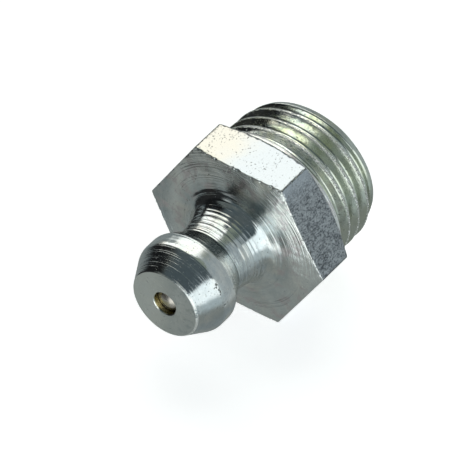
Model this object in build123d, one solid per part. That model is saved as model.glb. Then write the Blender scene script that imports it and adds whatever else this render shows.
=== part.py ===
from build123d import *
import math
import os

# Button-head grease nipple with a hexagon and a short taper thread, in millimetres.
# The axis is Y, with the nose towards -Y, and the body lies with a flat of its hexagon down.
# Y = 0 is the rear face of the collar, where the threaded shank begins.

# Nose, gripped by the coupler of a grease gun
nose_face_radius = 2.32
nose_length = 1.69
land_radius = 3.20
land_length = 1.06
land_rear_rounding = 0.35
neck_radius = 2.42
neck_length = 0.26
nose_rear_angle = 28.5
nose_face_chamfer = 0.05

# Flare that joins the neck to the hexagon
flare_length = 2.42
flare_start_angle = 1.0
flare_bend_distance = 1.03
flare_curve_radius = 4.4
flare_end_angle = 24.0
flare_fillet = 0.72
flare_foot_angle = 72.0
flare_foot_radius = 3.70

# Hexagon and the collar behind it
across_flats = 11.0
hexagon_corner_length = 2.52
hexagon_corner_rounding = 0.15
hexagon_front_angle = 7.5
hexagon_rear_angle = 24.0
hexagon_overcut = 1.0
collar_radius = 5.38
collar_length = 0.37
collar_rounding = 0.12

# Threaded shank: a right-hand taper thread that runs out before the collar
shank_length = 4.40
thread_diameter = 10.0
thread_gauge_distance = 2.1
thread_taper = 1 / 16
thread_pitch = 1.0
thread_depth = 0.54
thread_crest_width = 0.125
thread_flank_angle = 30.0
thread_overcut = 0.04
groove_crossing = 0.795
runout_radius = 4.72
runout_length = 0.55
runout_rise = 0.30
runout_turns = 0.5
runout_to_full_groove = 0.25
shank_end_radius = 4.55
shank_end_chamfer_length = 1.05

# Grease way: inlet, ball seat, spring chamber and the mouth rolled in behind the spring
inlet_radius = 0.78
inlet_length = 0.38
inlet_chamfer = 0.07
seat_half_angle = 59.0
chamber_radius = 1.55
mouth_radius = 1.10
mouth_lip_angle = 30.0
mouth_lip_thickness = 0.15
mouth_flare_radius = 1.70
mouth_flare_angle = 45.0

# Check ball and spring
ball_radius = 1.25
seat_clearance = 0.02
wire_radius = 0.15
coil_radius = 1.23
open_coil_count = 10
closed_coil_clearance = 0.02
spring_clearance = 0.02

# Places along the axis that follow from the sizes above
corner_radius = across_flats / math.sqrt(3)
corner_rear = -collar_length - (corner_radius - collar_radius) * math.tan(math.radians(hexagon_rear_angle))
corner_front = corner_rear - hexagon_corner_length
flare_foot = corner_front - (corner_radius - flare_foot_radius) * math.tan(math.radians(hexagon_front_angle))
flare_start = flare_foot - flare_length
neck_end = flare_start - neck_length
land_rear = neck_end - (land_radius - neck_radius) / math.tan(math.radians(nose_rear_angle))
land_front = land_rear - land_length
nose_face = land_front - nose_length
along_axis = Plane(origin=(0, 0, 0), x_dir=(1, 0, 0), z_dir=(0, 1, 0))


def crest_radius(place):
    """Radius of the thread's crests at a place along the axis."""
    return thread_diameter / 2 - (place - thread_gauge_distance) * thread_taper / 2


def turned(corners, roundings=()):
    """Solid of revolution about Y from (radius, place) corners, some of them rounded or bevelled."""
    with BuildSketch(Plane.XY) as section:
        with BuildLine():
            Polyline(*corners, close=True)
        make_face()
        for corner, size, shape in roundings:
            shape(section.vertices().sort_by_distance((*corner, 0))[0], size)
    return revolve(section.sketch, axis=Axis.Y)


def flare_corners():
    """Corners of the flare's outline between the neck and the foot, before they are rounded."""
    bend_place = flare_start + flare_bend_distance
    bend_radius = neck_radius + flare_bend_distance * math.tan(math.radians(flare_start_angle))
    end_slope = math.tan(math.radians(flare_end_angle))
    foot_slope = math.tan(math.radians(flare_foot_angle))
    rise = flare_foot_radius - bend_radius
    end_length = ((flare_foot - bend_place) * foot_slope - rise) / (foot_slope - end_slope)
    return (bend_radius, bend_place), (bend_radius + end_length * end_slope, bend_place + end_length)


def outer_form():
    """The turned outside from the nose to the collar, with the hexagon's stretch still round."""
    flare_bend, flare_ankle = flare_corners()
    bar_radius = corner_radius + hexagon_overcut
    front_rise = hexagon_overcut * math.tan(math.radians(hexagon_front_angle))
    rear_rise = hexagon_overcut * math.tan(math.radians(hexagon_rear_angle))
    corners = [
        (0, nose_face),
        (nose_face_radius, nose_face),
        (land_radius, land_front),
        (land_radius, land_rear),
        (neck_radius, neck_end),
        (neck_radius, flare_start),
        flare_bend,
        flare_ankle,
        (flare_foot_radius, flare_foot),
        (bar_radius, corner_front + front_rise),
        (bar_radius, corner_rear - rear_rise),
        (collar_radius, -collar_length),
        (collar_radius, 0),
        (0, 0),
    ]
    roundings = [
        ((nose_face_radius, nose_face), nose_face_chamfer, chamfer),
        ((land_radius, land_rear), land_rear_rounding, fillet),
        (flare_bend, flare_curve_radius, fillet),
        (flare_ankle, flare_fillet, fillet),
        ((collar_radius, 0), collar_rounding, fillet),
    ]
    return turned(corners, roundings)


def hexagon_bar():
    """Hexagonal bar with a flat upwards, which cuts the flats out of the turned form."""
    with BuildSketch(Plane.XZ) as section:
        RegularPolygon(across_flats / 2, 6, major_radius=False)
        fillet(section.vertices(), hexagon_corner_rounding)
    return extrude(section.sketch, -nose_face)


def helical_solid(corners, start, turns, start_radius, growth):
    """Solid that a section of (radial, axial) corners sweeps along some turns of the thread."""
    cone_angle = math.atan(growth)
    start_angle = 360 * (start - groove_crossing) / thread_pitch
    edges = []
    for radial, axial in corners:
        helix = Helix(
            thread_pitch / math.cos(cone_angle),
            turns * thread_pitch,
            start_radius + radial,
            cone_angle=math.degrees(cone_angle),
        )
        edges.append((Pos(0, 0, start + axial) * Rot(0, 0, start_angle) * helix).edge())
    sides = [Face.make_surface_from_curves(edges[i - 1], edges[i]) for i in range(len(edges))]
    ends = [Face(Wire.make_polygon([edge @ place for edge in edges])) for place in (0, 1)]
    return along_axis.location * Solid(Shell(sides + ends))


def thread_groove():
    """Groove of the thread, one turn at a time, after the stretch in which it fades in."""
    slope = math.tan(math.radians(thread_flank_angle))
    half_mouth = (thread_pitch - thread_crest_width) / 2
    half_root = half_mouth - thread_depth * slope
    section = [
        (thread_overcut, -half_mouth - thread_overcut * slope),
        (thread_overcut, half_mouth + thread_overcut * slope),
        (-thread_depth, half_root),
        (-thread_depth, -half_root),
    ]
    full_groove = runout_length + runout_to_full_groove
    fading_length = runout_turns * thread_pitch
    fading_radius = crest_radius(full_groove) + runout_rise
    fading_growth = -runout_rise / fading_length
    fading_start = full_groove - fading_length
    pieces = [helical_solid(section, fading_start, runout_turns, fading_radius, fading_growth)]
    for turn in range(math.ceil((shank_length + half_mouth - full_groove) / thread_pitch)):
        start = full_groove + turn * thread_pitch
        pieces.append(helical_solid(section, start, 1, crest_radius(start), -thread_taper / 2))
    return pieces


def threaded_shank():
    """The shank behind the collar, with its run-out, taper thread and end chamfer."""
    crest_start = runout_length + crest_radius(runout_length) - runout_radius
    crest_end = shank_length - shank_end_chamfer_length
    corners = [
        (0, 0),
        (runout_radius, 0),
        (runout_radius, runout_length),
        (crest_radius(crest_start), crest_start),
        (crest_radius(crest_end), crest_end),
        (shank_end_radius, shank_length),
        (0, shank_length),
    ]
    return turned(corners).cut(*thread_groove())


def grease_way():
    """Everything bored out of the body along its axis, from the inlet to the mouth."""
    seat_edge = nose_face + inlet_length
    seat_length = (chamber_radius - inlet_radius) / math.tan(math.radians(seat_half_angle))
    lip_front = mouth_lip_front()
    lip_edge = lip_front + (chamber_radius - mouth_radius) * math.tan(math.radians(mouth_lip_angle))
    flare_start = lip_edge + mouth_lip_thickness
    corners = [
        (0, nose_face),
        (inlet_radius + inlet_chamfer, nose_face),
        (inlet_radius, nose_face + inlet_chamfer),
        (inlet_radius, seat_edge),
        (chamber_radius, seat_edge + seat_length),
        (chamber_radius, lip_front),
        (mouth_radius, lip_edge),
        (mouth_radius, flare_start),
        (mouth_flare_radius, shank_length),
        (0, shank_length),
    ]
    return turned(corners)


def mouth_lip_front():
    """Place where the chamber begins to close in towards the mouth."""
    flare_depth = (mouth_flare_radius - mouth_radius) / math.tan(math.radians(mouth_flare_angle))
    lip_depth = (chamber_radius - mouth_radius) * math.tan(math.radians(mouth_lip_angle))
    return shank_length - flare_depth - mouth_lip_thickness - lip_depth


def nipple_body():
    return (outer_form() & hexagon_bar()) + threaded_shank() - grease_way()


def ball_centre():
    """Place of the ball, a clearance off the edge of the seat where the inlet opens."""
    reach = math.sqrt((ball_radius + seat_clearance) ** 2 - inlet_radius**2)
    return nose_face + inlet_length + reach


def check_ball():
    return Pos(0, ball_centre(), 0) * Sphere(ball_radius)


def spring():
    """Coil spring with closed ends, between the ball and the lip of the mouth."""
    off_ball = math.sqrt((ball_radius + wire_radius + spring_clearance) ** 2 - coil_radius**2)
    lip_slope = math.radians(mouth_lip_angle)
    front = ball_centre() + off_ball
    on_lip = mouth_lip_front() + (chamber_radius - coil_radius) * math.tan(lip_slope)
    rear = on_lip - (wire_radius + spring_clearance) / math.cos(lip_slope)
    closed_pitch = 2 * wire_radius + closed_coil_clearance
    open_length = rear - front - 2 * closed_pitch
    closed_coil = Helix(closed_pitch, closed_pitch, coil_radius)
    open_coils = Helix(open_length / open_coil_count, open_length, coil_radius)
    path = Wire([
        closed_coil.edge(),
        (Pos(0, 0, closed_pitch) * open_coils).edge(),
        (Pos(0, 0, closed_pitch + open_length) * closed_coil).edge(),
    ])
    with BuildSketch(Plane(origin=path @ 0, x_dir=(1, 0, 0), z_dir=path % 0)) as section:
        Circle(wire_radius)
    wire = sweep(section.sketch, path=path, is_frenet=True)
    return Pos(0, front, 0) * along_axis.location * wire


os.makedirs("parts", exist_ok=True)
export_step(nipple_body(), "parts/nipple_body.step")
export_step(check_ball(), "parts/check_ball.step")
export_step(spring(), "parts/spring.step")
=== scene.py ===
"""Looks of a button-head grease nipple that lies on a flat of its hexagon. Sizes are in millimetres."""
import math

import bpy
import numpy as np
from mathutils import Matrix, Vector, noise


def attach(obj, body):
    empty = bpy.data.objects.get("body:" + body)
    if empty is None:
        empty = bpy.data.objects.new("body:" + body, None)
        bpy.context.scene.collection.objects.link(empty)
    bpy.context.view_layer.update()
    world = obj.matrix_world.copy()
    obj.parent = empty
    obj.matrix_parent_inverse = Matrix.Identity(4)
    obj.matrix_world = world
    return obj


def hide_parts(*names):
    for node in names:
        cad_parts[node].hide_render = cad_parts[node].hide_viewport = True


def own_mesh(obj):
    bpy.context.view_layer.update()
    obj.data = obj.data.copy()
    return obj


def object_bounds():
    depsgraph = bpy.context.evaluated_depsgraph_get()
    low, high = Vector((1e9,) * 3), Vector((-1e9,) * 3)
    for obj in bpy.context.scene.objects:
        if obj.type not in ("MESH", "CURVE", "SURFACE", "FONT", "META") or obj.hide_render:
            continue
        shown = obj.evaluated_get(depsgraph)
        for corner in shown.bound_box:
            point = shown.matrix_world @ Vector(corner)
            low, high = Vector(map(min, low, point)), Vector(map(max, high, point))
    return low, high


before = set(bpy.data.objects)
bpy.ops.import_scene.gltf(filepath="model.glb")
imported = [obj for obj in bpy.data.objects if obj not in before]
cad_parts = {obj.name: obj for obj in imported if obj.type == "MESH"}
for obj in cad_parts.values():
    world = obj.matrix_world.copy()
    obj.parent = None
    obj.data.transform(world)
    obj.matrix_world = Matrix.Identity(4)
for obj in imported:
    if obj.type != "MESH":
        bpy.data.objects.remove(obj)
cad_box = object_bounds()

MM = 0.001
WELD_DISTANCE = 0.002 * MM

# Nose, land, neck and flare
NOSE_FACE = cad_box[0].y / MM
NOSE_FACE_RADIUS = 2.32
NOSE_RIM_ROUNDING = 0.12
NOSE_LENGTH = 1.69
LAND_RADIUS = 3.20
LAND_LENGTH = 1.06
LAND_FRONT_ROUNDING = 0.9
LAND_REAR_ROUNDING = 0.8
NECK_RADIUS = 2.42
NECK_LENGTH = 0.26
NECK_ROUNDING = 0.2
NOSE_REAR_ANGLE = math.radians(28.5)
FLARE_LENGTH = 2.42
FLARE_START_ANGLE = math.radians(1.0)
FLARE_BEND_DISTANCE = 1.03
FLARE_CURVE_RADIUS = 4.4
FLARE_END_ANGLE = math.radians(24.0)
FLARE_FILLET = 0.72
FLARE_FOOT_ANGLE = math.radians(72.0)
FLARE_FOOT_RADIUS = 3.70

# Hexagon and collar
ACROSS_FLATS = 11.0
CORNER_ROUNDING = 0.15
FRONT_ROUNDING = 0.045
REAR_ROUNDING = 0.09
FRONT_ANGLE = math.radians(7.5)
REAR_ANGLE = math.radians(24.0)
COLLAR_RADIUS = 5.38
COLLAR_LENGTH = 0.37
COLLAR_ROUNDING = 0.12

# Threaded shank
SHANK_LENGTH = cad_box[1].y / MM
THREAD_DIAMETER = 10.0
GAUGE_DISTANCE = 2.1
TAPER = 1 / 32
PITCH = 1.0
THREAD_DEPTH = 0.54
CREST_WIDTH = 0.125
CREST_ROUNDING = 0.02
ROOT_ROUNDING = 0.13
FLANK_ANGLE = math.radians(30.0)
GROOVE_CROSSING = 0.795
RUNOUT_RADIUS = 4.72
RUNOUT_LENGTH = 0.55
RUNOUT_RISE = 0.30
SHANK_END_RADIUS = 4.55
SHANK_END_CHAMFER = 1.05

# Grease way
INLET_RADIUS = 0.78
INLET_LENGTH = 0.38
INLET_CHAMFER = 0.07
SEAT_HALF_ANGLE = math.radians(59.0)
CHAMBER_RADIUS = 1.55
MOUTH_RADIUS = 1.10
MOUTH_LIP_ANGLE = math.radians(30.0)
MOUTH_LIP_THICKNESS = 0.15
MOUTH_FLARE_RADIUS = 1.70
BORE_ROUNDING = 0.05
LIP_ROUNDING = 0.08

# Ball and spring
BALL_RADIUS = 1.25
SEAT_CLEARANCE = 0.02
WIRE_RADIUS = 0.15
COIL_RADIUS = 1.23
OPEN_COILS = 10
CLOSED_COIL_CLEARANCE = 0.02
SPRING_CLEARANCE = 0.02

# Places along the axis
LAND_FRONT = NOSE_FACE + NOSE_LENGTH
LAND_REAR = LAND_FRONT + LAND_LENGTH
NECK_END = LAND_REAR + (LAND_RADIUS - NECK_RADIUS) / math.tan(NOSE_REAR_ANGLE)
FLARE_START = NECK_END + NECK_LENGTH
FLARE_FOOT = FLARE_START + FLARE_LENGTH
FOOT_OVERLAP = 0.02

# Marks of making and of use
SCALLOP_WIDTHS = 0.12, 0.30
SCALLOP_UNEVENNESS = 0.011
SCRATCH_DEPTHS = -0.006, 0.016
SCRATCH_WIDTH = 0.032
TOOL_RADIUS = 0.9
MARKS_AHEAD_OF_NECK = 0.15
MARKS_FADE = 0.12
EDGE_RADIUS = 6.0
EDGE_WIDTH = 0.09
EDGE_DEPTHS = 0.035, 0.075
WORN_HEIGHTS = 3.8, 4.8
DENTS_PER_MM = 4.2
NICKS_PER_MM = 11
NICK_SHARE = 0.7


def corner_angle(angles):
    """Angle of each column from the nearest corner of the hexagon."""
    sixth = math.pi / 3
    return (angles + sixth / 2) % sixth - sixth / 2


def hexagon_radius(angles):
    """Distance from the axis to the rounded outline of the hexagon."""
    turn = np.abs(corner_angle(angles))
    flat = ACROSS_FLATS / 2 / np.cos(math.pi / 6 - turn)
    centre = (ACROSS_FLATS / 2 - CORNER_ROUNDING) / math.cos(math.pi / 6)
    inside = np.maximum(CORNER_ROUNDING**2 - (centre * np.sin(turn)) ** 2, 0)
    rounded = centre * np.cos(turn) + np.sqrt(inside)
    tangent = math.atan2(CORNER_ROUNDING / 2, centre + CORNER_ROUNDING * math.cos(math.pi / 6))
    return np.where(turn < tangent, rounded, flat)


def column_angles(step):
    """Angles of a mesh's columns, closer together at the hexagon's corners."""
    near_corner = np.arange(-1, 1.01, 0.25)
    sixth = np.radians(np.concatenate([near_corner, np.arange(1 + step, 59, step)]))
    angles = np.concatenate([sixth + k * math.pi / 3 for k in range(6)])
    return np.append(angles, 2 * math.pi + angles[0])


def unit(vectors):
    return vectors / np.linalg.norm(vectors, axis=-1, keepdims=True)


def arc_between(corner, back, onward, rounding, steps):
    """Points of the arc that rounds a corner between the directions back and onward."""
    half = np.arccos(np.clip((back * onward).sum(-1, keepdims=True), -1, 1)) / 2
    centre = corner + unit(back + onward) * rounding / np.sin(half)
    first = corner + back * rounding / np.tan(half) - centre
    last = corner + onward * rounding / np.tan(half) - centre
    sweep = math.pi - 2 * half
    shares = np.linspace(0, 1, steps + 1)
    return [centre + (np.sin((1 - f) * sweep) * first + np.sin(f * sweep) * last) / np.sin(sweep)
            for f in shares]


def outline(corners, count):
    """Dense (rows, columns, 2) path of radius and place through corners, some of them rounded.

    Each corner is (radius, place, rounding, steps round it, steps on to the next one)."""
    points = [np.stack([np.full(count, radius), np.full(count, place)], -1)
              for radius, place, *_ in corners]
    arcs = []
    for k, (here, (_, _, rounding, steps_round, _)) in enumerate(zip(points, corners)):
        if k in (0, len(points) - 1) or rounding == 0:
            arcs.append([here])
            continue
        back, onward = unit(points[k - 1] - here), unit(points[k + 1] - here)
        arcs.append(arc_between(here, back, onward, rounding, steps_round))
    rows = []
    for arc, following, corner in zip(arcs, arcs[1:], corners):
        rows.extend(arc)
        steps = corner[4]
        rows.extend(arc[-1] + (following[0] - arc[-1]) * i / steps for i in range(1, steps))
    rows.extend(arcs[-1])
    return np.array(rows)


def head_corners():
    """Corners of the head, from the chamber's wall out over the nose to the flare's foot."""
    seat_edge = NOSE_FACE + INLET_LENGTH
    seat_end = seat_edge + (CHAMBER_RADIUS - INLET_RADIUS) / math.tan(SEAT_HALF_ANGLE)
    bend = NECK_RADIUS + FLARE_BEND_DISTANCE * math.tan(FLARE_START_ANGLE)
    end_slope, foot_slope = math.tan(FLARE_END_ANGLE), math.tan(FLARE_FOOT_ANGLE)
    short_of_foot = (FLARE_LENGTH - FLARE_BEND_DISTANCE) * foot_slope - (FLARE_FOOT_RADIUS - bend)
    end_length = short_of_foot / (foot_slope - end_slope)
    ankle = bend + end_length * end_slope, FLARE_START + FLARE_BEND_DISTANCE + end_length
    return [
        (CHAMBER_RADIUS, 0, 0, 0, 4),
        (CHAMBER_RADIUS, seat_end, BORE_ROUNDING, 2, 3),
        (INLET_RADIUS, seat_edge, 0.02, 2, 4),
        (INLET_RADIUS, NOSE_FACE + INLET_CHAMFER, 0.03, 2, 2),
        (INLET_RADIUS + INLET_CHAMFER, NOSE_FACE, 0.03, 2, 10),
        (NOSE_FACE_RADIUS, NOSE_FACE, NOSE_RIM_ROUNDING, 7, 16),
        (LAND_RADIUS, LAND_FRONT, LAND_FRONT_ROUNDING, 10, 8),
        (LAND_RADIUS, LAND_REAR, LAND_REAR_ROUNDING, 10, 14),
        (NECK_RADIUS, NECK_END, NECK_ROUNDING, 14, 20),
        (NECK_RADIUS, FLARE_START, 0, 0, 11),
        (bend, FLARE_START + FLARE_BEND_DISTANCE, FLARE_CURVE_RADIUS, 145, 12),
        (*ankle, FLARE_FILLET, 50, 20),
        (FLARE_FOOT_RADIUS, FLARE_FOOT, 0.02, 2, 1),
        (FLARE_FOOT_RADIUS + FOOT_OVERLAP, FLARE_FOOT + FOOT_OVERLAP, 0, 0, 0),
    ]


def front_place(bar):
    """Place of the hexagon's front face at a distance from the axis."""
    return FLARE_FOOT + (bar - FLARE_FOOT_RADIUS) * math.tan(FRONT_ANGLE)


def rear_place(bar):
    """Place of the hexagon's rear face at a distance from the axis."""
    return -COLLAR_LENGTH - (bar - COLLAR_RADIUS) * math.tan(REAR_ANGLE)


def hexagon_corners(angles):
    """Corners of the hexagon and the collar, from the foot of the flare to the start of the thread."""
    bar = hexagon_radius(angles)
    foot = FLARE_FOOT_RADIUS - FOOT_OVERLAP
    return [
        (foot, front_place(foot), 0, 0, 30),
        (bar, front_place(bar), FRONT_ROUNDING, 6, 44),
        (bar, rear_place(bar), REAR_ROUNDING, 6, 8),
        (COLLAR_RADIUS, -COLLAR_LENGTH, 0.04, 2, 4),
        (COLLAR_RADIUS, 0, COLLAR_ROUNDING, 4, 4),
        (RUNOUT_RADIUS, 0, 0, 0, 0),
    ]


def crest_radius(place):
    """Radius of the thread's crests at a place along the axis."""
    return THREAD_DIAMETER / 2 - (place - GAUGE_DISTANCE) * TAPER


def groove_offsets():
    """Rows across one turn of the thread: (place from the groove's middle, height from the crest)."""
    half_mouth = (PITCH - CREST_WIDTH) / 2
    half_root = half_mouth - THREAD_DEPTH * math.tan(FLANK_ANGLE)
    corners = [
        (-THREAD_DEPTH, 0, 0, 0, 2),
        (-THREAD_DEPTH, half_root, ROOT_ROUNDING, 4, 5),
        (0, half_mouth, CREST_ROUNDING, 3, 2),
        (0, PITCH / 2, 0, 0, 0),
    ]
    half = outline(corners, 1)[:, 0]
    return np.concatenate([half[:0:-1] * (1, -1), half])


def shank_rows(angles):
    """(rows, columns, 2) radius and place of the shank's outside, its rows following the thread."""
    end_chamfer_start = SHANK_LENGTH - SHANK_END_CHAMFER
    chamfer_slope = (crest_radius(end_chamfer_start) - SHANK_END_RADIUS) / SHANK_END_CHAMFER
    fading_start = RUNOUT_LENGTH + PITCH / 4
    groove_places, groove_heights = groove_offsets().T[::-1]
    first_groove = GROOVE_CROSSING - angles / (2 * math.pi) * PITCH
    rows = []
    for turn in range(-1, 6):
        for place in groove_places:
            along = np.clip(first_groove + turn * PITCH + place, 0, SHANK_LENGTH)
            across = (along - first_groove + PITCH / 2) % PITCH - PITCH / 2
            middle = along - across
            lift = np.maximum(fading_start - middle, 0) * RUNOUT_RISE / (PITCH / 2)
            thread = crest_radius(along) + np.interp(across, groove_places, groove_heights) + lift
            runout = RUNOUT_RADIUS + np.maximum(along - RUNOUT_LENGTH, 0)
            end = SHANK_END_RADIUS + (SHANK_LENGTH - along) * chamfer_slope
            radius = np.minimum.reduce([thread, runout, end, crest_radius(along)])
            rows.append(np.stack([radius, along], -1))
    return np.array(rows)


def end_rows(angles, outside):
    """Rows from the shank's end face in through the mouth and along the chamber's wall."""
    flare_end = SHANK_LENGTH - (MOUTH_FLARE_RADIUS - MOUTH_RADIUS)
    lip_edge = flare_end - MOUTH_LIP_THICKNESS
    lip_front = lip_edge - (CHAMBER_RADIUS - MOUTH_RADIUS) * math.tan(MOUTH_LIP_ANGLE)
    corners = [
        (outside[-1, :, 0], SHANK_LENGTH, 0, 0, 10),
        (MOUTH_FLARE_RADIUS, SHANK_LENGTH, BORE_ROUNDING, 2, 4),
        (MOUTH_RADIUS, flare_end, LIP_ROUNDING, 3, 2),
        (MOUTH_RADIUS, lip_edge, LIP_ROUNDING, 3, 3),
        (CHAMBER_RADIUS, lip_front, BORE_ROUNDING, 2, 4),
        (CHAMBER_RADIUS, 0, 0, 0, 0),
    ]
    return outline(corners, len(angles))[1:]


def grid_mesh(name, rows, angles):
    """Mesh of a (rows, columns, 2) grid of radius and place, turned round the axis."""
    radius, place = rows[..., 0], rows[..., 1]
    points = np.stack([radius * np.cos(angles), place, radius * np.sin(angles)], -1) * MM
    height, width = radius.shape
    index = np.arange(height * width).reshape(height, width)
    quads = np.stack([index[:-1, :-1], index[1:, :-1], index[1:, 1:], index[:-1, 1:]], -1).reshape(-1, 4)
    mesh = bpy.data.meshes.new(name)
    mesh.from_pydata(points.reshape(-1, 3).tolist(), [], quads.tolist())
    piece = bpy.data.objects.new(name, mesh)
    bpy.context.scene.collection.objects.link(piece)
    weld = piece.modifiers.new("weld", "WELD")
    weld.merge_threshold = WELD_DISTANCE
    bpy.context.view_layer.objects.active = piece
    bpy.ops.object.modifier_apply(modifier=weld.name)
    piece.data.validate()
    piece.data.shade_smooth()
    return piece


def tool_marks(rows, angles):
    """The head's rows with the shallow scallops that the tool left on the neck and the flare."""
    draw = np.random.default_rng(5)
    along = np.cumsum(np.r_[0, np.hypot(*np.diff(rows[:, 0], axis=0).T)])
    marked = (rows[:, 0, 1] > NECK_END - MARKS_AHEAD_OF_NECK) & (along > along.max() / 2)
    first, last = along[marked][[0, -1]]
    borders = first + np.cumsum(np.r_[0, draw.uniform(*SCALLOP_WIDTHS, 60)])
    ridges = draw.uniform(-SCALLOP_UNEVENNESS, SCALLOP_UNEVENNESS, len(borders))
    turns = draw.uniform(0, 2 * math.pi, len(borders))
    band = np.clip(np.searchsorted(borders, along) - 1, 0, len(borders) - 2)
    width = borders[band + 1] - borders[band]
    share = (along - borders[band]) / width
    sag = width**2 / (8 * TOOL_RADIUS) * (1 - (2 * share - 1) ** 2)
    swing = 0.75 + 0.25 * np.cos(angles + turns[band][:, None])
    scratches = draw.uniform(*SCRATCH_DEPTHS, len(borders))
    nearest = np.where(share < 0.5, band, band + 1)
    scratch = scratches[nearest] * np.exp(-(((along - borders[nearest]) / SCRATCH_WIDTH) ** 2))
    sunk = (sag + scratch + np.interp(along, borders, ridges))[:, None] * swing
    fade = np.clip(np.minimum(along - first, last - along) / MARKS_FADE, 0, 1)
    slope = np.gradient(rows[:, 0], axis=0)
    outward = unit(np.stack([slope[:, 1], -slope[:, 0]], -1))[:, None]
    return rows - outward * (sunk * fade[:, None])[..., None]


def rim_distance(radius, place, angles):
    """Distance to the nearest edge of the hexagon."""
    bar = hexagon_radius(angles)
    corner = np.hypot(bar - radius, bar * corner_angle(angles))
    between = np.clip(np.maximum(front_place(bar) - place, place - rear_place(bar)), 0, None)
    return np.minimum.reduce([
        np.hypot(bar - radius, place - front_place(bar)),
        np.hypot(bar - radius, place - rear_place(bar)),
        np.hypot(corner, between),
    ])


def worn_edges(rows, angles):
    """The hexagon's rows with small dents and nicks along its edges."""
    radius, place = rows[..., 0].copy(), rows[..., 1].copy()
    wear = np.exp(-((rim_distance(radius, place, angles) / EDGE_WIDTH) ** 2))
    middle = (front_place(EDGE_RADIUS) + rear_place(EDGE_RADIUS)) / 2
    for i, k in zip(*np.nonzero(wear > 0.02)):
        across = radius[i, k] * math.cos(angles[k])
        up = radius[i, k] * math.sin(angles[k])
        point = Vector((across, place[i, k], up))
        dent = noise.noise(point * DENTS_PER_MM) + NICK_SHARE * noise.noise(point * NICKS_PER_MM)
        depth = np.interp(point.z, WORN_HEIGHTS, EDGE_DEPTHS) * wear[i, k] * max(dent, 0)
        radius[i, k] -= depth
        place[i, k] += depth if place[i, k] < middle else -depth
    return np.stack([radius, place], -1)


def mark_edges(piece):
    """Gives the piece an attribute that is 1 on the hexagon's edges and falls to 0 beside them."""
    x, y, z = (np.array([v.co for v in piece.data.vertices]) / MM).T
    distance = rim_distance(np.hypot(x, z), y, np.arctan2(z, x))
    attribute = piece.data.attributes.new("edge", "FLOAT", "POINT")
    attribute.data.foreach_set("value", np.exp(-((distance / EDGE_WIDTH) ** 2)).astype(np.float32))


head_angles = np.radians(np.arange(0, 361.0, 2.0))
head_rows = tool_marks(outline(head_corners(), len(head_angles)), head_angles)
head = grid_mesh("nipple_head", head_rows, head_angles)
bar_angles = column_angles(0.5)
bar_rows = worn_edges(outline(hexagon_corners(bar_angles), len(bar_angles)), bar_angles)
hexagon = grid_mesh("nipple_hexagon", bar_rows, bar_angles)
mark_edges(hexagon)
angles = column_angles(1.0)
outside = shank_rows(angles)
shank = grid_mesh("nipple_shank", np.concatenate([outside, end_rows(angles, outside)]), angles)
for piece in (head, hexagon, shank):
    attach(piece, "nipple")
    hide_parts("nipple_body")


def spring_path():
    """Points along the middle of the spring's wire, whose first and last turns lie closed."""
    off_seat = math.sqrt((BALL_RADIUS + SEAT_CLEARANCE) ** 2 - INLET_RADIUS**2)
    off_ball = math.sqrt((BALL_RADIUS + WIRE_RADIUS + SPRING_CLEARANCE) ** 2 - COIL_RADIUS**2)
    first = NOSE_FACE + INLET_LENGTH + off_seat + off_ball
    lip_depth = (CHAMBER_RADIUS - MOUTH_RADIUS) * math.tan(MOUTH_LIP_ANGLE)
    lip_front = SHANK_LENGTH - (MOUTH_FLARE_RADIUS - MOUTH_RADIUS) - MOUTH_LIP_THICKNESS - lip_depth
    on_lip = lip_front + (CHAMBER_RADIUS - COIL_RADIUS) * math.tan(MOUTH_LIP_ANGLE)
    last = on_lip - (WIRE_RADIUS + SPRING_CLEARANCE) / math.cos(MOUTH_LIP_ANGLE)
    closed = 2 * WIRE_RADIUS + CLOSED_COIL_CLEARANCE
    count = OPEN_COILS + 2
    turns = np.linspace(0, count, count * 60 + 1)
    place = np.interp(turns, [0, 1, count - 1, count], [first, first + closed, last - closed, last])
    turn = 2 * math.pi * turns
    return np.stack([COIL_RADIUS * np.cos(turn), place, -COIL_RADIUS * np.sin(turn)], -1)


def wire_mesh(name, path, radius, sides):
    """Round wire along a path that winds about Y, closed at both ends."""
    along = unit(np.gradient(path, axis=0))
    outward = unit(path * (1, 0, 1))
    across = np.cross(along, outward)
    around = np.linspace(0, 2 * math.pi, sides, endpoint=False)
    rings = path[:, None] + radius * (np.cos(around)[:, None] * outward[:, None] +
                                      np.sin(around)[:, None] * unit(across)[:, None])
    count = len(path)
    index = np.arange(count * sides).reshape(count, sides)
    quads = np.stack([index[:-1], index[1:], np.roll(index[1:], -1, 1), np.roll(index[:-1], -1, 1)], -1)
    faces = quads.reshape(-1, 4).tolist() + [index[0].tolist(), index[-1][::-1].tolist()]
    mesh = bpy.data.meshes.new(name)
    mesh.from_pydata((rings.reshape(-1, 3) * MM).tolist(), [], faces)
    piece = bpy.data.objects.new(name, mesh)
    bpy.context.scene.collection.objects.link(piece)
    piece.data.shade_smooth()
    return piece


path = spring_path()
coil = wire_mesh("spring_coil", path, WIRE_RADIUS, 14)
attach(coil, "nipple")
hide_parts("spring")
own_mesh(coil)


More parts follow.
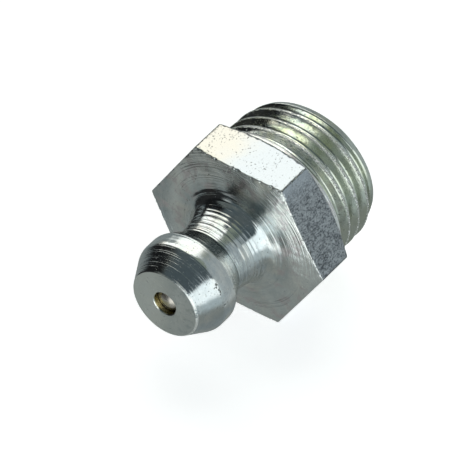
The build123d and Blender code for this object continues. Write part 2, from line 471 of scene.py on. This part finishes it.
class Graph:
    """Node tree with short calls that add a node and give one of its outputs."""

    def __init__(self, tree):
        self.nodes, self.links = tree.nodes, tree.links

    def add(self, kind, inputs, output=0, **settings):
        node = self.nodes.new("ShaderNode" + kind)
        for name, value in settings.items():
            setattr(node, name, value)
        for name, value in inputs.items():
            self.connect(value, node.inputs[name])
        return node.outputs[output]

    def connect(self, value, socket):
        if isinstance(value, bpy.types.NodeSocket):
            self.links.new(value, socket)
        else:
            socket.default_value = value

    def math(self, operation, *values):
        return self.add("Math", dict(enumerate(values)), operation=operation)

    def step(self, value, low, high, bottom=0.0, top=1.0):
        """Smooth rise or fall from bottom to top as the value goes from low to high."""
        ends = {"Value": value, "From Min": low, "From Max": high, "To Min": bottom, "To Max": top}
        return self.add("MapRange", ends, interpolation_type="SMOOTHSTEP")

    def mix(self, share, first, second):
        """Colour that goes from the first to the second as the share goes from 0 to 1."""
        ends = {"Factor": share, "A": first, "B": second}
        return self.add("Mix", ends, output="Result", data_type="RGBA")

    def paint(self, colour, *coats):
        """Colour with coats of (share, colour) over it, in their order."""
        for share, coat in coats:
            colour = self.mix(share, colour, coat)
        return colour

    def noise(self, place, scale, detail=2.0, roughness=0.5):
        """Fractal noise from 0 to 1 of a vector, with scale in features per millimetre."""
        inputs = {"Vector": place, "Scale": scale, "Detail": detail, "Roughness": roughness}
        return self.add("TexNoise", inputs)


class Surface:
    """Metal whose place, ring lines and grain all come from the object's own millimetres."""

    def __init__(self, name):
        self.material = bpy.data.materials.new(name)
        self.material.use_nodes = True
        self.graph = graph = Graph(self.material.node_tree)
        self.shader = graph.nodes["Principled BSDF"]
        self.shader.inputs["Metallic"].default_value = 1
        coordinates = graph.add("TexCoord", {}, output="Object")
        self.place = graph.add("VectorMath", {0: coordinates, "Scale": 1 / MM}, operation="SCALE")
        split = graph.nodes.new("ShaderNodeSeparateXYZ")
        graph.links.new(self.place, split.inputs[0])
        self.x, self.y, self.z = split.outputs
        squares = graph.math("ADD", graph.math("POWER", self.x, 2.0), graph.math("POWER", self.z, 2.0))
        self.radius = graph.math("SQRT", squares)
        self.height = None

    def rings(self, length, slope=1.0):
        """Coordinates in which noise draws rings about Y, broken up into arcs of some length.

        A face that widens along Y has a slope of 1, and one that narrows along it a slope of -1."""
        graph = self.graph
        along = graph.math("MULTIPLY_ADD", self.radius, slope, self.y)
        side = graph.math("DIVIDE", self.x, graph.math("MULTIPLY", self.radius, length))
        top = graph.math("DIVIDE", self.z, graph.math("MULTIPLY", self.radius, length))
        return graph.add("CombineXYZ", {"X": side, "Y": along, "Z": top})

    def stretched(self, length):
        """Coordinates in which noise is stretched along Y by a factor."""
        return self.graph.add("VectorMath", {0: self.place, 1: (1, 1 / length, 1)}, operation="MULTIPLY")

    def raise_by(self, share, depth):
        """Adds share times depth, in millimetres, to the height of the surface."""
        graph = self.graph
        base = 0.0 if self.height is None else self.height
        self.height = graph.math("MULTIPLY_ADD", share, depth, base)

    def band(self, ends, soft=0.15):
        """1 where the place along Y is between the ends, in millimetres, and 0 outside."""
        graph = self.graph
        low, high = ends
        rise = graph.step(self.y, low - soft / 2, low + soft / 2)
        return graph.math("MULTIPLY", rise, graph.step(self.y, high + soft / 2, high - soft / 2))

    def nick(self, point, radius, depth):
        """Sinks a small dent at a point of the surface, and gives its share."""
        graph = self.graph
        ends = {0: self.place, 1: point}
        distance = graph.add("VectorMath", ends, output="Value", operation="DISTANCE")
        share = graph.step(distance, radius, radius * 0.2)
        self.raise_by(share, -depth)
        return share

    def finish(self, colour, roughness):
        graph = self.graph
        bump = graph.add("Bump", {"Height": self.height, "Distance": MM})
        graph.links.new(bump, self.shader.inputs["Normal"])
        graph.connect(colour, self.shader.inputs["Base Color"])
        graph.connect(roughness, self.shader.inputs["Roughness"])
        return self.material


# Colours of the plate, and of what lies on it
ZINC_WARM = (0.77, 0.755, 0.70, 1)
ZINC_COOL = (0.69, 0.735, 0.74, 1)
ZINC_CLOUDED = (0.50, 0.545, 0.55, 1)
ZINC_IN_GROOVES = (0.50, 0.54, 0.53, 1)
SOIL = (0.10, 0.10, 0.09, 1)
GREASE = (0.36, 0.32, 0.17, 1)
FILM = (0.66, 0.60, 0.60, 1)

# Colours of the turned faces, with painted light and shade: the nose's face paler on the left and darker
# on the right, the cone darker, the hexagon's face paler at the top and darker at its left corner, and a
# painted highlight on the nose's rim
NOSE_PAINTED_LIGHT = (0.97, 0.98, 0.92, 1)
NOSE_PAINTED_SHADE = (0.50, 0.535, 0.52, 1)
NOSE_RIM_PAINTED_HIGHLIGHT = (0.90, 0.91, 0.88, 1)
CONE_PAINTED_SHADE = (0.47, 0.50, 0.51, 1)
FACE_PAINTED_LOW_LIGHT = (0.74, 0.76, 0.74, 1)
FACE_PAINTED_HIGH_LIGHT = (1.0, 1.0, 0.95, 1)
FACE_CORNER_PAINTED_SHADE = (0.40, 0.45, 0.47, 1)

# Colours of the flats, with painted shade in the dark and pale mottle of the right flat
FLAT_LEFT = (0.60, 0.585, 0.53, 1)
FLAT_RIGHT = (0.54, 0.58, 0.61, 1)
DULL_PAINTED_SHADE_DARK = (0.125, 0.135, 0.145, 1)
DULL_PAINTED_SHADE_PALE = (0.52, 0.545, 0.555, 1)

# Colours of the thread, with painted shade for its right side and painted glints for its right crests
THREAD_COOL = (0.86, 0.90, 0.87, 1)
THREAD_YELLOW = (0.86, 0.89, 0.74, 1)
THREAD_GREEN = (0.62, 0.69, 0.66, 1)
THREAD_WORN = (0.42, 0.46, 0.43, 1)
THREAD_RIGHT_PAINTED_SHADE = (0.50, 0.53, 0.45, 1)
CREST = (0.88, 0.87, 0.82, 1)
CREST_PAINTED_GLINT = (1.0, 1.0, 0.98, 1)

# Colours of the ball and of the spring's wire
BALL_GREASY = (0.54, 0.48, 0.29, 1)
BALL_CLEAN = (0.58, 0.53, 0.47, 1)
WIRE_DARK = (0.50, 0.50, 0.49, 1)
WIRE_PALE = (0.66, 0.66, 0.65, 1)

# Depth of the tool's rings, in millimetres, between two places along Y
RING_BANDS = [
    ((NOSE_FACE - 1, NOSE_FACE + 0.05), 0.0012),
    ((NOSE_FACE + 0.05, LAND_FRONT), 0.008),
    ((LAND_FRONT, LAND_REAR), 0.003),
    ((LAND_REAR, NECK_END - 0.2), 0.010),
    ((NECK_END - 0.2, FLARE_FOOT - 0.1), 0.004),
    ((FLARE_FOOT - 0.1, FLARE_FOOT + 0.1), 0.012),
    ((FLARE_FOOT + 0.1, 1), 0.026),
]


def surface_point(radius, degrees, place):
    """Point at an angle from +X towards +Z round the axis, in millimetres."""
    angle = math.radians(degrees)
    return radius * math.cos(angle), place, radius * math.sin(angle)


# Nicks in the turned faces as (point, radius, depth)
NICKS = [
    (surface_point(3.18, 36, LAND_FRONT - 0.06), 0.11, 0.03),
    (surface_point(3.15, 33, LAND_FRONT - 0.14), 0.08, 0.03),
    (surface_point(3.18, 29, LAND_FRONT - 0.05), 0.09, 0.03),
    (surface_point(3.18, 26, LAND_FRONT - 0.02), 0.08, 0.04),
    (surface_point(3.17, 23, LAND_FRONT - 0.07), 0.07, 0.03),
    (surface_point(3.19, 8, LAND_FRONT + 0.04), 0.09, 0.03),
]


def cut_rings(surface):
    """Raises the tool's rings, each face's to its own depth and deeper in patches."""
    graph = surface.graph
    depth = 0.0
    for ends, amount in RING_BANDS:
        depth = graph.math("MULTIPLY_ADD", surface.band(ends), amount, depth)
    patches = graph.step(graph.noise(surface.place, 0.8, 2.0), 0.35, 0.65, 0.45, 1.3)
    depth = graph.math("MULTIPLY", depth, patches)
    fine = graph.noise(surface.rings(60.0), 9.0, 3.0, 0.7)
    coarse = graph.noise(surface.rings(25.0), 3.0, 1.0, 0.5)
    scores = graph.step(graph.noise(surface.rings(20.0), 6.0, 1.0), 0.54, 0.62)
    broad = graph.math("MULTIPLY_ADD", coarse, 0.8, graph.math("MULTIPLY", scores, -0.5))
    surface.raise_by(graph.math("ADD", fine, broad), depth)
    narrowing = graph.noise(surface.rings(25.0, -1.0), 5.0, 3.0, 0.7)
    back_taper = surface.band((LAND_REAR, NECK_END - 0.1))
    surface.raise_by(narrowing, graph.math("MULTIPLY", back_taper, 0.05))


def knock_edges(surface):
    """Makes the land's front edge uneven, and the nose's rim, most of all on the right."""
    graph = surface.graph
    land_edge = surface.band((LAND_FRONT - 0.15, LAND_FRONT + 0.3), 0.3)
    knocks = graph.noise(surface.place, 3.0, 3.0, 0.6)
    surface.raise_by(knocks, graph.math("MULTIPLY", land_edge, 0.02))
    rim = surface.band((NOSE_FACE + 0.01, NOSE_FACE + 0.12), 0.04)
    rightward = graph.step(surface.x, 0.0, 1.0, 0.004, 0.02)
    outer = graph.step(surface.radius, 1.4, 1.8)
    depth = graph.math("MULTIPLY", graph.math("MULTIPLY", rim, rightward), outer)
    surface.raise_by(graph.noise(surface.place, 9.0, 2.0, 0.6), depth)


def sink_dents(surface):
    """Sinks pits and nicks into the turned faces, and gives their share."""
    graph = surface.graph
    share = graph.step(graph.noise(surface.place, 8.0, 2.0, 0.6), 0.67, 0.71)
    surface.raise_by(share, -0.006)
    for point, radius, depth in NICKS:
        share = graph.math("MAXIMUM", share, surface.nick(point, radius, depth))
    return share


def rim_wear_and_highlight(surface):
    """Share of the broken bright line along the right of the nose's rim: worn plating that is made
    rougher and painted paler as a highlight.
    """
    graph = surface.graph
    rim = surface.band((NOSE_FACE + 0.005, NOSE_FACE + 0.13), 0.03)
    broken = graph.step(graph.noise(surface.place, 2.5, 3.0, 0.6), 0.38, 0.47)
    right = graph.step(surface.x, 0.3, 1.0)
    return graph.math("MULTIPLY", graph.math("MULTIPLY", rim, broken), right)


def turned_colour(surface, dents, rim):
    """Colour of the turned faces: clouded plate, soiled and greasy, with painted light and shade by
    face: the nose's face paler on the left and darker on the right, the cone darker, the hexagon's face
    paler at the top and darker towards its left corner, and a painted highlight on the nose's rim.
    """
    graph = surface.graph
    tint = graph.step(graph.noise(surface.place, 0.7, 3.0), 0.35, 0.65)
    cloudy = graph.step(graph.noise(surface.place, 0.9, 6.0, 0.75), 0.36, 0.66, 0.0, 0.7)
    grooves = graph.noise(surface.rings(30.0), 4.0, 4.0, 0.75)
    nose_face = surface.band((NOSE_FACE - 1, NOSE_FACE + 0.05), 0.02)
    cone = surface.band((NOSE_FACE + 0.05, LAND_FRONT))
    hexagon_face = surface.band((FLARE_FOOT + 0.06, 1))
    film = graph.step(graph.noise(surface.place, 1.3, 4.0, 0.6), 0.48, 0.66, 0.0, 0.8)
    filmed = surface.band((FLARE_FOOT - 0.1, 1))
    # painted light and shade: the nose's face paler on the left and darker on the right, the hexagon's
    # face paler at the top and darker towards its left corner
    nose_painted_light_and_shade = graph.mix(graph.step(surface.x, -1.2, 2.0), NOSE_PAINTED_LIGHT, NOSE_PAINTED_SHADE)
    painted_light_by_height = graph.mix(graph.step(surface.z, -3.5, 2.5), FACE_PAINTED_LOW_LIGHT, FACE_PAINTED_HIGH_LIGHT)
    face_painted_light_and_shade = graph.mix(graph.step(surface.x, -4.2, -5.4), painted_light_by_height, FACE_CORNER_PAINTED_SHADE)
    return graph.paint(
        graph.mix(tint, ZINC_COOL, ZINC_WARM),
        (cloudy, ZINC_CLOUDED),
        (graph.step(grooves, 0.42, 0.70, 0.0, 0.40), ZINC_IN_GROOVES),
        # painted light and shade on the nose's face, a painted shade over the cone, and painted light
        # and shade on the hexagon's face
        (graph.math("MULTIPLY", nose_face, 0.65), nose_painted_light_and_shade),
        (graph.math("MULTIPLY", cone, 0.28), CONE_PAINTED_SHADE),
        (graph.math("MULTIPLY", hexagon_face, 0.5), face_painted_light_and_shade),
        (graph.math("MULTIPLY", film, filmed), FILM),
        (graph.math("MULTIPLY", dents, 0.8), SOIL),
        (graph.step(surface.radius, INLET_RADIUS + 0.05, INLET_RADIUS + 0.01), GREASE),
        # painted highlight along the right of the nose's rim, over its worn plating
        (rim, NOSE_RIM_PAINTED_HIGHLIGHT),
    )


def turned_plate():
    """Bright plate over turned faces, with the rings of the tool."""
    surface = Surface("turned_plate")
    graph = surface.graph
    cut_rings(surface)
    grain = graph.noise(surface.place, 14.0, 3.0, 0.6)
    surface.raise_by(grain, 0.0007)
    knock_edges(surface)
    dents = sink_dents(surface)
    rim = rim_wear_and_highlight(surface)
    roughness = graph.step(grain, 0.3, 0.7, 0.10, 0.17)
    hexagon_face = surface.band((FLARE_FOOT + 0.06, 1))
    flare = surface.band((NECK_END, FLARE_FOOT + 0.06))
    for share, rougher in ((hexagon_face, 0.06), (flare, -0.06), (rim, 0.3)):
        roughness = graph.math("MULTIPLY_ADD", share, rougher, roughness)
    surface.shader.inputs["Anisotropic"].default_value = 0.6
    surface.shader.inputs["Anisotropic Rotation"].default_value = 0.25
    tangent = graph.add("Tangent", {}, direction_type="RADIAL", axis="Y")
    graph.links.new(tangent, surface.shader.inputs["Tangent"])
    return surface.finish(turned_colour(surface, dents, rim), roughness)


def flat_plate():
    """Plate over the drawn flats of the hexagon, duller and more pitted on the right, where a mottle of
    painted shade also darkens it.
    """
    surface = Surface("flat_plate")
    graph = surface.graph
    # the right flat: duller and more grained plate, also darkened by painted shade
    dull_and_shaded = graph.step(surface.x, 3.0, 4.0)
    grain = graph.noise(surface.stretched(1.8), 12.0, 3.0, 0.6)
    surface.raise_by(grain, graph.math("MULTIPLY_ADD", dull_and_shaded, 0.008, 0.003))
    clusters = graph.step(graph.noise(surface.place, 0.55, 1.0), 0.45, 0.62)
    specks = graph.noise(surface.stretched(1.3), 8.5, 2.0, 0.6)
    limit = graph.math("MULTIPLY_ADD", clusters, -0.06, 0.685)
    pits = graph.math("GREATER_THAN", specks, limit)
    surface.raise_by(pits, -0.01)
    edge = graph.add("Attribute", {}, output="Fac", attribute_name="edge")
    rough_edge = graph.math("MULTIPLY", edge, graph.noise(surface.place, 7.0, 3.0, 0.7))
    surface.raise_by(rough_edge, -0.03)
    drift = graph.noise(surface.place, 0.8, 2.0)
    side = graph.step(graph.math("MULTIPLY_ADD", drift, 3.0, surface.x), -0.8, 2.2)
    blotches = graph.noise(surface.stretched(1.6), 2.2, 3.0, 0.6)
    mottle = graph.step(graph.math("MULTIPLY_ADD", blotches, 0.45, grain), 0.54, 0.90)
    colour = graph.paint(
        graph.mix(side, FLAT_LEFT, FLAT_RIGHT),
        # painted shade: the dull mottle darkens the right flat
        (dull_and_shaded, graph.mix(mottle, DULL_PAINTED_SHADE_DARK, DULL_PAINTED_SHADE_PALE)),
        (graph.math("MULTIPLY", pits, 0.75), SOIL),
        (graph.math("MULTIPLY", graph.step(rough_edge, 0.27, 0.40), 0.7), SOIL),
    )
    return surface.finish(colour, graph.math("MULTIPLY_ADD", dull_and_shaded, 0.12, 0.16))


def along_turns(surface):
    """Coordinates in which noise draws streaks along the turns of the thread."""
    graph = surface.graph
    turn = graph.math("ARCTAN2", surface.z, surface.x)
    helix = graph.math("MULTIPLY_ADD", turn, PITCH / (2 * math.pi), surface.y)
    return graph.add("CombineXYZ", {
        "X": graph.math("DIVIDE", surface.x, THREAD_DIAMETER / 2),
        "Y": graph.math("ADD", helix, surface.radius),
        "Z": graph.math("DIVIDE", surface.z, THREAD_DIAMETER / 2),
    })


def on_crests(surface):
    """Share that is 1 on the thread's crests and 0 in its grooves."""
    straightened = surface.graph.math("MULTIPLY_ADD", surface.y, TAPER, surface.radius)
    top = THREAD_DIAMETER / 2 + GAUGE_DISTANCE * TAPER
    return surface.graph.step(straightened, top - 0.05, top - 0.02)


def thread_colour(surface, crest, pits, specks):
    """Colour of the thread: yellow and green films, worn in patches, with painted shade that darkens it
    on the right and painted glints on its right crests.
    """
    graph = surface.graph
    film = graph.step(graph.noise(surface.place, 0.9, 3.0, 0.55), 0.40, 0.60)
    green = graph.step(graph.noise(surface.place, 1.7, 2.0), 0.55, 0.75)
    worn = graph.step(graph.noise(surface.place, 1.6, 6.0, 0.75), 0.50, 0.64, 0.0, 0.45)
    return graph.paint(
        graph.mix(film, THREAD_COOL, THREAD_YELLOW),
        (green, THREAD_GREEN),
        (worn, THREAD_WORN),
        # painted shade that darkens the thread on the right
        (graph.step(surface.x, 0.8, 3.4, 0.0, 0.75), THREAD_RIGHT_PAINTED_SHADE),
        (graph.math("MULTIPLY", pits, 0.6), SOIL),
        (graph.math("MULTIPLY", crest, 0.5), CREST),
        # painted glints on the right crests
        (specks, CREST_PAINTED_GLINT),
    )


def thread_plate():
    """Plate over the thread, iridescent where it is thick, with rolled streaks along the turns."""
    surface = Surface("thread_plate")
    graph = surface.graph
    surface.raise_by(graph.noise(along_turns(surface), 9.0, 3.0, 0.65), 0.004)
    grain = graph.noise(surface.place, 9.0, 4.0, 0.65)
    surface.raise_by(grain, 0.005)
    crest = on_crests(surface)
    bruises = graph.step(graph.noise(surface.place, 7.0, 3.0, 0.75), 0.48, 0.60)
    surface.raise_by(graph.math("MULTIPLY", crest, bruises), -0.04)
    pits = graph.step(graph.noise(surface.place, 6.0, 2.0, 0.6), 0.66, 0.70)
    surface.raise_by(pits, -0.02)
    # painted glints: pale specks on the right crests, which are also made rougher
    right_crest = graph.math("MULTIPLY", crest, graph.step(surface.x, 1.5, 3.0))
    broken = graph.step(graph.noise(surface.place, 5.5, 2.0, 0.6), 0.59, 0.62)
    specks = graph.math("MULTIPLY", broken, right_crest)
    roughness = graph.step(grain, 0.3, 0.7, 0.06, 0.12)
    for share, rougher in ((crest, 0.12), (specks, 0.35)):
        roughness = graph.math("MULTIPLY_ADD", share, rougher, roughness)
    return surface.finish(thread_colour(surface, crest, pits, specks), roughness)


def ball_steel():
    """Polished steel with the faint film that grease and handling leave."""
    surface = Surface("ball_steel")
    graph = surface.graph
    film = graph.noise(surface.place, 2.0, 3.0)
    surface.raise_by(graph.noise(surface.place, 20.0, 3.0, 0.6), 0.0006)
    colour = graph.mix(graph.step(film, 0.35, 0.6), BALL_GREASY, BALL_CLEAN)
    return surface.finish(colour, graph.step(film, 0.3, 0.7, 0.20, 0.30))


def spring_wire():
    """Drawn wire, with marks of the die along it."""
    surface = Surface("spring_wire")
    graph = surface.graph
    drawn = graph.noise(surface.rings(2.0), 30.0, 2.0, 0.6)
    surface.raise_by(drawn, 0.003)
    colour = graph.mix(graph.noise(surface.place, 1.5, 2.0), WIRE_DARK, WIRE_PALE)
    return surface.finish(colour, 0.28)


# Faces of the hexagon's piece that belong to its flats: steepest normal, and least distance out
FLAT_NORMAL = 0.35
FLAT_INNER = 5.4


def set_material(piece, material):
    piece.data.materials.append(material)


turned = turned_plate()
set_material(head, turned)
set_material(hexagon, turned)
set_material(hexagon, flat_plate())
for polygon in hexagon.data.polygons:
    on_a_flat = abs(polygon.normal.y) < FLAT_NORMAL and polygon.center.xz.length > FLAT_INNER * MM
    polygon.material_index = on_a_flat
set_material(shank, thread_plate())
set_material(coil, spring_wire())
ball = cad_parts["check_ball"]
ball_finish = ball_steel()
for material_slot in ball.material_slots:
    material_slot.link = "OBJECT"
    material_slot.material = ball_finish


# Camera: its direction from the object, the point it aims at and how far it is lowered from there,
# its distance, all in millimetres, and its lens
CAMERA_AZIMUTH = math.radians(35.489)
CAMERA_ELEVATION = math.radians(44.435)
CAMERA_ROLL = math.radians(1.013)
CAMERA_AIM = Vector((-0.845, -3.249, 0.294))
CAMERA_LOWERED = 0.0413
CAMERA_DISTANCE = 348.72
CAMERA_LENS = 464.5


def make_camera():
    camera = bpy.data.objects.new("camera", bpy.data.cameras.new("camera"))
    level = Vector((math.cos(CAMERA_AZIMUTH), math.sin(CAMERA_AZIMUTH), 0))
    back = Vector((
        math.sin(CAMERA_AZIMUTH) * math.cos(CAMERA_ELEVATION),
        -math.cos(CAMERA_AZIMUTH) * math.cos(CAMERA_ELEVATION),
        math.sin(CAMERA_ELEVATION),
    ))
    up = back.cross(level)
    right = level * math.cos(CAMERA_ROLL) + up * math.sin(CAMERA_ROLL)
    aim = CAMERA_AIM * MM - up * CAMERA_LOWERED * MM
    axes = Matrix((right, back.cross(right), back)).transposed()
    camera.matrix_world = Matrix.Translation(aim + back * CAMERA_DISTANCE * MM) @ axes.to_4x4()
    camera.data.lens = CAMERA_LENS
    camera.data.sensor_width = 36
    camera.data.clip_start = 0.01
    camera.data.clip_end = 10
    bpy.context.scene.collection.objects.link(camera)
    bpy.context.scene.camera = camera


# White background and floor, and how much of them the metal mirrors
WHITE = (1, 1, 1, 1)
MIRRORED_SHARE = 0.01
FLOOR_GAP = 0.01
FLOOR_COLOUR = (0.9, 0.9, 0.9, 1)
FLOOR_GLOW = 0.68

# Studio: the room below and above its soft horizon, in degrees, and what its panels show
ROOM_BELOW = (0.245, 0.272, 0.265, 1)
ROOM_ABOVE = (0.080, 0.105, 0.117, 1)
ROOM_HORIZON = -32, -24
DARK_WALL = (0.000, 0.001, 0.002, 1)
RIGHT_WINDOW = (1.40, 1.50, 1.52, 1)
REAR_WINDOW = (1.70, 1.70, 1.62, 1)

# Panels of the studio as (azimuth from and to, elevation from and to, slope of both elevations,
# soft edges at the azimuths' and elevations' ends, radiance), in degrees. Azimuth 0 is -Y and
# 90 is +X, and a later panel lies over an earlier one.
PANELS = [
    (-98, -28, -27, 54, 0, (6, 8, 4, 12), DARK_WALL),
    (-205, -102, -40, 20, 0, (8, 6, 12, 12), (0.24, 0.27, 0.27, 1)),
    (-112, -90, 2, 24, 0, (6, 6, 8, 8), DARK_WALL),
    (100, 172, -75, -36, 0, (14, 10, 20, 14), (0.24, 0.275, 0.285, 1)),
    (100, 172, -36, 52, 0, (14, 10, 14, 8), (0.42, 0.475, 0.50, 1)),
    (4, 112, -34, 10, 0.22, (8, 24, 14, 20), (0.50, 0.58, 0.60, 1)),
    (18, 101, -8, 29, 0.08, (16, 8, 14, 8), RIGHT_WINDOW),
    (-12, 48, -29, 4, 0.4, (6, 14, 8, 6), RIGHT_WINDOW),
    (-194, -103.5, 31, 62, -0.35, (46, 3, 12, 8), REAR_WINDOW),
    (-125, -104, 12, 46, 0, (8, 4, 8, 6), REAR_WINDOW),
    (-170, -104, 49, 74, 0, (10, 4, 8, 8), (1.60, 1.65, 1.52, 1)),
    (-66, -10, 24, 52, 0, (10, 12, 8, 8), (0.14, 0.16, 0.155, 1)),
    (-34, -26, -7, 9, 0, (4, 4, 6, 8), (0.45, 0.48, 0.47, 1)),
    (108, 168, 50, 82, 0, (10, 16, 12, 8), (0.25, 0.29, 0.24, 1)),
]


def seen_by(graph):
    """Whether a ray comes from the camera, and whether it comes off metal or through glass."""
    rays = graph.nodes.new("ShaderNodeLightPath").outputs
    mirrored = graph.math("MAXIMUM", rays["Is Glossy Ray"], rays["Is Transmission Ray"])
    return rays["Is Camera Ray"], mirrored


def panel_share(graph, azimuth, elevation, sides, heights, slope, soft_edges):
    """Share of one panel in a direction, 1 inside it and falling to 0 over its soft edges."""
    (first, last), (low, high) = sides, heights
    soft_first, soft_last, soft_low, soft_high = soft_edges
    middle = (first + last) / 2
    reach = (last - first) / 2
    turn = graph.math("WRAP", graph.math("SUBTRACT", azimuth, middle), 180.0, -180.0)
    height = graph.math("MULTIPLY_ADD", turn, -slope, elevation)
    share = graph.step(turn, -reach - soft_first / 2, -reach + soft_first / 2)
    for edge in (
        graph.step(turn, reach + soft_last / 2, reach - soft_last / 2),
        graph.step(height, low - soft_low / 2, low + soft_low / 2),
        graph.step(height, high + soft_high / 2, high - soft_high / 2),
    ):
        share = graph.math("MULTIPLY", share, edge)
    return share


def make_world():
    """Studio of soft panels round the object, behind a background that is white to the camera."""
    world = bpy.data.worlds.new("world")
    bpy.context.scene.world = world
    world.use_nodes = True
    graph = Graph(world.node_tree)
    split = graph.nodes.new("ShaderNodeSeparateXYZ")
    graph.links.new(graph.add("TexCoord", {}, output="Generated"), split.inputs[0])
    x, y, z = split.outputs
    azimuth = graph.math("DEGREES", graph.math("ARCTAN2", x, graph.math("MULTIPLY", y, -1.0)))
    elevation = graph.math("DEGREES", graph.math("ARCSINE", z))
    colour = graph.mix(graph.step(elevation, *ROOM_HORIZON), ROOM_BELOW, ROOM_ABOVE)
    for first, last, low, high, slope, soft_edges, radiance in PANELS:
        panel = (first, last), (low, high), slope, soft_edges
        colour = graph.mix(panel_share(graph, azimuth, elevation, *panel), colour, radiance)
    camera, mirrored = seen_by(graph)
    white = graph.math("MAXIMUM", camera, graph.math("MULTIPLY", mirrored, MIRRORED_SHARE))
    graph.links.new(graph.mix(white, colour, WHITE), graph.nodes["Background"].inputs["Color"])


def make_floor():
    """White floor just under the object, which keeps the object's shadow."""
    bpy.ops.mesh.primitive_plane_add(size=3, location=(0, 0, cad_box[0].z - FLOOR_GAP * MM))
    floor = bpy.context.object
    floor.name = "floor"
    material = bpy.data.materials.new("floor")
    material.use_nodes = True
    shader = material.node_tree.nodes["Principled BSDF"]
    shader.inputs["Base Color"].default_value = FLOOR_COLOUR
    shader.inputs["Roughness"].default_value = 1
    shader.inputs["Specular IOR Level"].default_value = 0
    shader.inputs["Emission Color"].default_value = WHITE
    shader.inputs["Emission Strength"].default_value = FLOOR_GLOW
    graph = Graph(material.node_tree)
    clear = graph.math("MULTIPLY", seen_by(graph)[1], 1 - MIRRORED_SHARE)
    mixed = graph.add("MixShader", {0: clear, 1: shader.outputs[0], 2: graph.add("BsdfTransparent", {})})
    graph.links.new(mixed, graph.nodes["Material Output"].inputs["Surface"])
    floor.data.materials.append(material)
    floor.visible_shadow = False


make_camera()
make_world()
make_floor()
bpy.context.scene.view_settings.view_transform = "Standard"
